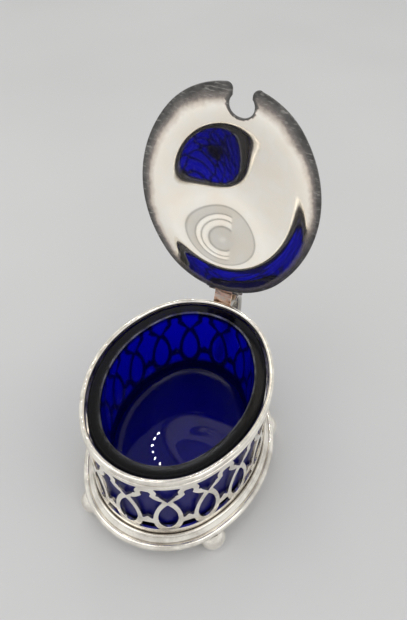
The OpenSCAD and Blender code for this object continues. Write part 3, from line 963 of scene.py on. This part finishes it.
def dome(x, y):
    """Height of the lid's underside over its border."""
    rho2 = ((x / LID_A) ** 2 + (y / LID_B) ** 2) / DOME_AT ** 2
    return DOME_H * max(0.0, 1 - rho2) ** 2


def dome_normal(x, y):
    """Upward normal of the dome."""
    h = 0.01
    dx = (dome(x + h, y) - dome(x - h, y)) / (2 * h)
    dy = (dome(x, y + h) - dome(x, y - h)) / (2 * h)
    return Vector((-dx, -dy, 1)).normalized()


def lid_outline():
    """The lid's edge in plan with its keyhole notch, anticlockwise from the notch's right lip."""
    places = [k * 0.01 for k in range(1200)]
    inset = LID_INSET + LIP_R
    lips = []
    for side in (1, -1):
        reach = NOTCH[0] + side * (THROAT + LIP_R)
        s = min(places, key=lambda d: abs(on_wall(d * side)[0] - reach))
        x, y, nx, ny = on_wall(s * side)
        lips.append((s * side, (x - nx * inset, y - ny * inset), math.degrees(math.atan2(ny, nx))))
    (s_right, right, facing_right), (s_left, left, facing_left) = lips
    count = 300
    span = GIRTH + s_left - s_right
    edge = [off_wall(s_right + span * k / count, -LID_INSET, 0)[:2] for k in range(1, count)]
    left_x = NOTCH[0] - THROAT
    right_x = NOTCH[0] + THROAT
    turn = math.degrees(math.acos(THROAT / NOTCH_R))
    left_lip = arc((left_x - LIP_R, left[1]), LIP_R, facing_left, 0, 10)
    bowl = arc(NOTCH, NOTCH_R, 180 + turn, -turn, 40)
    right_lip = arc((right_x + LIP_R, right[1]), LIP_R, 180, facing_right + 360, 10)
    return edge + left_lip + bowl + right_lip


def lid_piece():
    """The lid: one thin domed sheet with a rounded edge, its two faces true to the dome."""
    edge_gap, step, row = 0.5, 0.8, 0.866
    clear_edge, clear_notch, clear_lips = 0.35, 0.6, 0.55
    outline = spaced(lid_outline(), edge_gap)
    inner = shifted(outline, -LID_EDGE)
    lips = inner[-70:]
    filling = []
    for r in range(int(2 * LID_B / (step * row)) + 1):
        y = -LID_B + r * step * row
        for k in range(int(2 * LID_A / step) + 1):
            x = -LID_A + (k + 0.5 * (r % 2)) * step
            in_edge = distance_out(x, y) < -LID_INSET - LID_EDGE - clear_edge
            off_notch = math.dist((x, y), NOTCH) > NOTCH_R + clear_notch
            off_lips = y > NOTCH[1] or min(math.dist((x, y), p) for p in lips) > clear_lips
            if in_edge and off_notch and off_lips and inside((x, y), inner):
                filling.append((x, y))
    flat = triangulate(inner, [], filling)
    plan = inner + filling
    n, m = len(plan), len(outline)
    points, normals, faces = [], [], []
    for lift, sign in ((0, -1), (LID_T, 1)):
        points += [(x, y, LID_Z + lift + dome(x, y)) for x, y in plan]
        normals += [sign * dome_normal(x, y) for x, y in plan]
    for lift in (LID_EDGE, LID_T - LID_EDGE):
        points += [(x, y, LID_Z + lift + dome(x, y)) for x, y in outline]
        normals += [Vector((b[0] - a[0], b[1] - a[1], 0)).normalized() for a, b in zip(inner, outline)]
    faces += [tuple(reversed(face)) for face in flat]
    faces += [tuple(k + n for k in face) for face in flat]
    rings = [list(range(m)), list(range(2 * n, 2 * n + m)), list(range(2 * n + m, 2 * n + 2 * m)),
             list(range(n, n + m))]
    for a, b in zip(rings, rings[1:]):
        faces += [(a[k], a[(k + 1) % m], b[(k + 1) % m], b[k]) for k in range(m)]
    mesh = bpy.data.meshes.new("lid_dome")
    mesh.from_pydata([Vector(opened(p)) * MM for p in points], [], faces)
    mesh.polygons.foreach_set("use_smooth", [True] * len(mesh.polygons))
    turn = Matrix.Rotation(-OPEN_ANGLE, 3, "X")
    mesh.normals_split_custom_set_from_vertices([turn @ v for v in normals])
    reach = mesh.attributes.new("border_reach", "FLOAT", "POINT")
    for k, (x, y, _) in enumerate(points):
        width = BORDER_MID + BORDER_RIGHT * x / LID_A
        width += (BORDER_FRONT if y < 0 else BORDER_BACK) * (y / LID_B) ** 2
        on_edge = k < m or n <= k < n + m or k >= 2 * n
        reach.data[k].value = 0.0 if on_edge else max(0.0, -LID_INSET - distance_out(x, y)) / width
    mesh.materials.append(LID_SILVER)
    obj = bpy.data.objects.new("lid_dome", mesh)
    bpy.context.collection.objects.link(obj)
    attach(obj, "lid")
    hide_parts("lid")
    return obj


piece("gallery", gallery_shape(), "pot", "silver", "pierced_gallery")
piece("rim", sweep(rim_profile()), "pot", "silver", "rim_wire")
piece("step_ring", sweep(step_profile()), "pot", "silver", "base_step_ring")
piece("flange", sweep(flange_profile()), "pot", "silver", "base_flange")
liner = piece("liner", liner_shape(), "pot", "cobalt_glass", "glass_liner", sharp=60)
mark_liner(liner.data)
for foot_name, foot_s in FEET.items():
    piece(foot_name + "_ball", foot_shape(foot_s), "pot", "silver", foot_name)
strap = piece("strap_handle", handle_shape(), "pot", "silver", "handle")
# The handle gets the darker silver copy: painted shade
strap.data.materials[0] = SHADED_SILVER
piece("hinge_plate", hinge_plate_shape(), "pot", "worn_hinge", "body_hinge_plate")
piece("middle_tube", tube_shape(-PLATE_W / 2, PLATE_W / 2), "pot", "worn_hinge", "body_knuckle")
piece("pin", pin_shape(), "lid", "dark_pin", "hinge_pin")
lid_piece()
SIDE_TUBE_END = SIDE_TUBE_X + SIDE_TUBE_L
piece("left_tube", tube_shape(-SIDE_TUBE_END, -SIDE_TUBE_X), "lid", "dark_pin", "lid_knuckle_left")
piece("right_tube", tube_shape(SIDE_TUBE_X, SIDE_TUBE_END), "lid", "dark_pin", "lid_knuckle_right")
piece("hinge_leaf", leaf_shape(), "lid", "silver", "lid_hinge_leaf", move=opened)
piece("thumb_lever", thumb_shape(), "lid", "silver", "thumbpiece", move=opened)

floor_node = frame["nodes"]["floor_plate"]
floor_node.data.materials.clear()
floor_node.data.materials.append(PLAIN_SILVER)


# Stage, camera and light, in metres

def stage():
    """A square of paper that the pot stands on."""
    half = 1.5
    corners = [(-half, -half, 0), (half, -half, 0), (half, half, 0), (-half, half, 0)]
    mesh = bpy.data.meshes.new("paper_floor")
    mesh.from_pydata(corners, [], [(0, 1, 2, 3)])
    mesh.materials.append(floor_material())
    obj = bpy.data.objects.new("paper_floor", mesh)
    bpy.context.collection.objects.link(obj)


def camera():
    """Camera fitted to the photograph: turn, tilt and roll in degrees, the rest in millimetres."""
    turn, tilt, roll = math.radians(21.694), math.radians(46.568), math.radians(1.192)
    away, across, above = 198.939, 7.544, 48.709
    back = Vector((math.sin(turn) * math.cos(tilt), -math.cos(turn) * math.cos(tilt), math.sin(tilt)))
    level = Vector((math.cos(turn), math.sin(turn), 0))
    rise = back.cross(level)
    right = level * math.cos(roll) + rise * math.sin(roll)
    up = rise * math.cos(roll) - level * math.sin(roll)
    place = away * back + across * right + above * up
    data = bpy.data.cameras.new("camera")
    data.sensor_fit = "HORIZONTAL"
    data.sensor_width = 36
    data.lens = 51.882
    data.clip_start = 0.005
    obj = bpy.data.objects.new("camera", data)
    bpy.context.collection.objects.link(obj)
    axes = Matrix((right, up, back)).transposed().to_4x4()
    obj.matrix_world = Matrix.Translation(place * MM) @ axes
    bpy.context.scene.camera = obj


def softbox(name, place, aim, size, power, colour=(1, 1, 1)):
    """An oblong lamp at a place, turned to what it is aimed at."""
    data = bpy.data.lights.new(name, "AREA")
    data.shape = "RECTANGLE"
    data.size, data.size_y = size
    data.energy = power
    data.color = colour
    obj = bpy.data.objects.new(name, data)
    bpy.context.collection.objects.link(obj)
    obj.location = place
    obj.rotation_euler = (Vector(aim) - Vector(place)).to_track_quat("-Z", "Y").to_euler()


def lamps_on_arc(name, centre, radius, angles, count, size, power):
    """Small lamps on a level arc that face the pot, angles in degrees."""
    pot_middle = (0, 0, 0.03)
    for k, (x, y) in enumerate(arc(centre, radius, *angles, count - 1)):
        softbox("%s_%d" % (name, k), (x, y, centre[2]), pot_middle, (size, size), power)


def world():
    """Pale room, a little warm, and darker straight overhead."""
    warmth = 0.985
    scene_world = bpy.data.worlds.new("room")
    bpy.context.scene.world = scene_world
    scene_world.use_nodes = True
    tree = scene_world.node_tree
    background = tree.nodes["Background"]
    coords = tree.nodes.new("ShaderNodeTexCoord")
    parts = tree.nodes.new("ShaderNodeSeparateXYZ")
    ramp = tree.nodes.new("ShaderNodeValToRGB")
    tree.links.new(coords.outputs["Generated"], parts.inputs[0])
    tree.links.new(parts.outputs["Z"], ramp.inputs["Fac"])
    stops = ((0.0, 0.92), (0.4, 0.95), (0.8, 0.85), (1.0, 0.55))
    elements = ramp.color_ramp.elements
    while len(elements) < len(stops):
        elements.new(0.5)
    for element, (at, grey) in zip(elements, stops):
        element.position = at
        element.color = (grey, grey, grey * warmth, 1)
    tree.links.new(ramp.outputs["Color"], background.inputs["Color"])
    background.inputs["Strength"].default_value = 0.9


stage()
camera()
world()
softbox("key", (-0.28, -0.25, 0.9), (0, 0, 0.0), (0.6, 0.6), 1.4, (1.0, 0.985, 0.96))
softbox("fill", (0.5, -0.1, 0.8), (0, 0, 0.02), (0.5, 0.5), 0.9)
lamps_on_arc("dot", (-0.125, 0.25, 0.5), 0.03, (0, 342), 20, 0.002, 0.004)
bpy.context.scene.view_settings.view_transform = "Standard"
